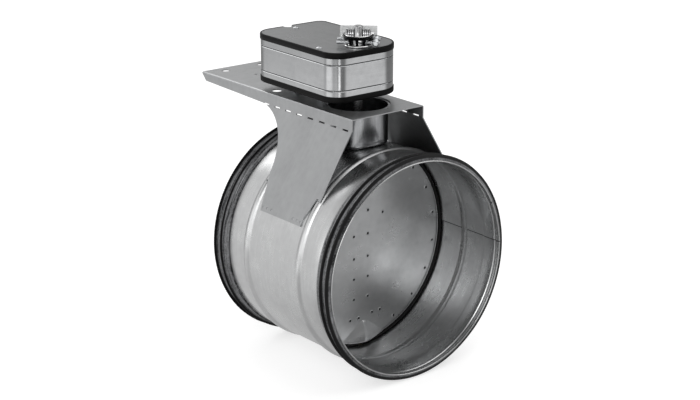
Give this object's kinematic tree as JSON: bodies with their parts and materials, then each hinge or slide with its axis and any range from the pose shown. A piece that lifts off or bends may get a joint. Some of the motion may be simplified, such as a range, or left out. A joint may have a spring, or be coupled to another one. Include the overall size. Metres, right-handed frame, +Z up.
{
  "type": "motorised shut-off damper",
  "caption": "Round duct shut-off damper with a pivoting sealed blade, lip seals on both spigots and a rotary actuator carried on a raised sheet-metal bracket.",
  "frame": {"origin": "where the blade spindle's axis crosses the duct axis, in the middle of the casing", "axes": "+Y along the duct axis with the open front at -Y, +Z up the blade spindle towards the actuator, +X to the right seen from the front"},
  "size_m": [0.262, 0.3455, 0.3898],
  "materials": {
    "galvanised_casing": "hot-dip zinc coat with a faint spangle",
    "galvanised_blade": "zinc-coated sheet with dull clinch marks",
    "bracket_sheet": "zinc-coated sheet, satin",
    "cup_sheet": "drawn zinc-coated sheet",
    "seal_rubber": "matt black with a few pale streaks",
    "band_rubber": "satin black edge band",
    "housing_sheet": "drawn zinc-coated tub, satin",
    "cover_sheet": "zinc-coated cover, satin",
    "zinc_plated": "bright zinc plate",
    "bush_bronze": "plain sintered bronze",
    "spindle_steel": "turned steel",
    "clamp_ring": "bright plated",
    "clamp_crown": "dark plated steel",
    "clamp_jaws": "dark serrated steel",
    "indicator_clear": "clear plastic, polished",
    "gear_plate": "zinc-plated sheet",
    "gear_steel": "sintered steel, oiled",
    "gear_brass": "machined brass",
    "motor_can": "zinc-plated can",
    "spring_strip": "blue-black spring strip",
    "board": "green solder mask",
    "gland_plastic": "black moulded plastic"
  },
  "bodies": {
    "frame": {"casing": "galvanised_casing", "bracket": "bracket_sheet", "spindle_cup": "cup_sheet", "front_lip_seal": "seal_rubber", "rear_lip_seal": "seal_rubber", "lower_band": "band_rubber", "upper_band": "band_rubber", "actuator_housing": "housing_sheet", "top_cover": "cover_sheet", "upper_saddle": "zinc_plated", "lower_saddle": "zinc_plated", "upper_bush_nut": "zinc_plated", "lower_bush_nut": "zinc_plated", "cover_screws": "zinc_plated", "support_bolts": "zinc_plated", "support_sleeves": "zinc_plated", "upper_bush": "bush_bronze", "lower_bush": "bush_bronze", "gear_axles": "spindle_steel", "gear_plate": "gear_plate", "motor": "motor_can", "return_spring": "spring_strip", "circuit_board": "board", "cable_gland": "gland_plastic"},
    "blade": {"blade_front_disc": "galvanised_blade", "blade_rear_disc": "galvanised_blade", "blade_gasket": "seal_rubber", "blade_rails": "galvanised_blade", "drive_spindle": "spindle_steel", "pivot_pin": "spindle_steel", "output_hub": "spindle_steel", "sector_gear": "gear_steel", "clamp_ring": "clamp_ring", "clamp_crown": "clamp_crown", "clamp_plate": "clamp_ring", "clamp_jaws": "clamp_jaws", "clamp_bolts": "zinc_plated", "clamp_nuts": "zinc_plated", "position_indicator": "indicator_clear"},
    "second_gear": {"second_gear": "gear_steel"},
    "first_gear": {"first_gear": "gear_brass"},
    "motor_rotor": {"motor_pinion": "gear_brass"}
  },
  "joints": [
    {"name": "blade_turn", "type": "hinge", "parent": "frame", "child": "blade", "pos_m": [0, 0, 0], "axis": [0, 0, 1], "range_deg": [0, 90], "stiffness_Nm_per_rad": 0.5, "springref_deg": -20.05},
    {"name": "second_gear_turn", "type": "hinge", "parent": "frame", "child": "second_gear", "pos_m": [0.00075, 0.04749, 0.2], "axis": [0, 0, 1], "range_deg": [-480, 0]},
    {"name": "first_gear_turn", "type": "hinge", "parent": "frame", "child": "first_gear", "pos_m": [0.01912, 0.07121, 0.2], "axis": [0, 0, 1], "range_deg": [0, 1920]},
    {"name": "motor_turn", "type": "hinge", "parent": "frame", "child": "motor_rotor", "pos_m": [0.00573, 0.08966, 0.2], "axis": [0, 0, 1], "range_deg": [-7200, 0]}
  ],
  "couplings": [
    {"joint": "second_gear_turn", "follows": "blade_turn", "ratio": -5.3333},
    {"joint": "first_gear_turn", "follows": "blade_turn", "ratio": 21.333},
    {"joint": "motor_turn", "follows": "blade_turn", "ratio": -80}
  ]
}
